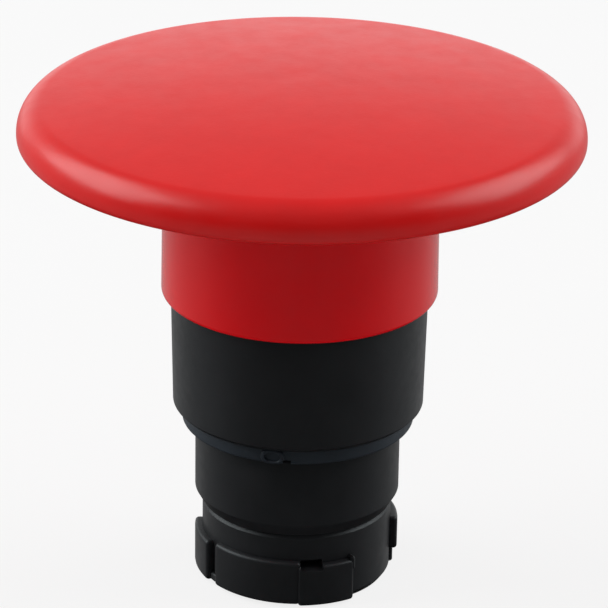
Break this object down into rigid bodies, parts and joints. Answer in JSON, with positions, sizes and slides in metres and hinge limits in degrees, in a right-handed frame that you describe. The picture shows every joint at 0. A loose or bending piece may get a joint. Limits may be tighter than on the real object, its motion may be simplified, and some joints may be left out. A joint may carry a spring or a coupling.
{
  "type": "emergency stop button",
  "caption": "Panel-mount emergency stop head: red mushroom cap on a sliding neck, black barrel, rubber gasket, round mounting tube and bayonet sleeve. Push to latch, pull to reset.",
  "frame": {"origin": "centre of the panel hole on the panel's front face, which is the level of the gasket's lower face", "axes": "+Z along the button's axis, out of the panel towards the operator; -Y is the front, seen in the reference view; +X is to the right of it"},
  "size_m": [0.06, 0.06, 0.0556],
  "materials": {
    "red_plastic": "satin moulded, fine texture",
    "black_plastic": "satin moulded",
    "black_rubber": "matt",
    "white_acetal": "smooth",
    "plated_steel": "zinc plated",
    "spring_steel": "drawn wire",
    "brass": "turned"
  },
  "bodies": {
    "housing": {"barrel_shell": "black_plastic", "barrel_cap": "black_plastic", "body_tube": "black_plastic", "bayonet_sleeve": "black_plastic", "panel_gasket": "black_rubber", "barrel_o_ring": "black_rubber", "guide_bush": "white_acetal", "stem_seal": "black_rubber", "detent_block": "white_acetal", "detent_clip": "spring_steel", "plunger_spring": "spring_steel"},
    "button": {"mushroom_cap": "red_plastic", "neck_skirt": "red_plastic", "skirt_screws": "plated_steel", "stem_insert": "brass", "plunger_stem": "plated_steel", "lock_washer": "spring_steel", "spring_seat": "plated_steel", "seat_clip": "spring_steel", "actuator_foot": "black_plastic", "foot_screw": "plated_steel"}
  },
  "joints": [
    {"name": "button_push", "type": "slide", "parent": "housing", "child": "button", "axis": [0, 0, -1], "range_m": [0, 0.0055], "deforming": ["plunger_spring", "detent_clip"]}
  ]
}
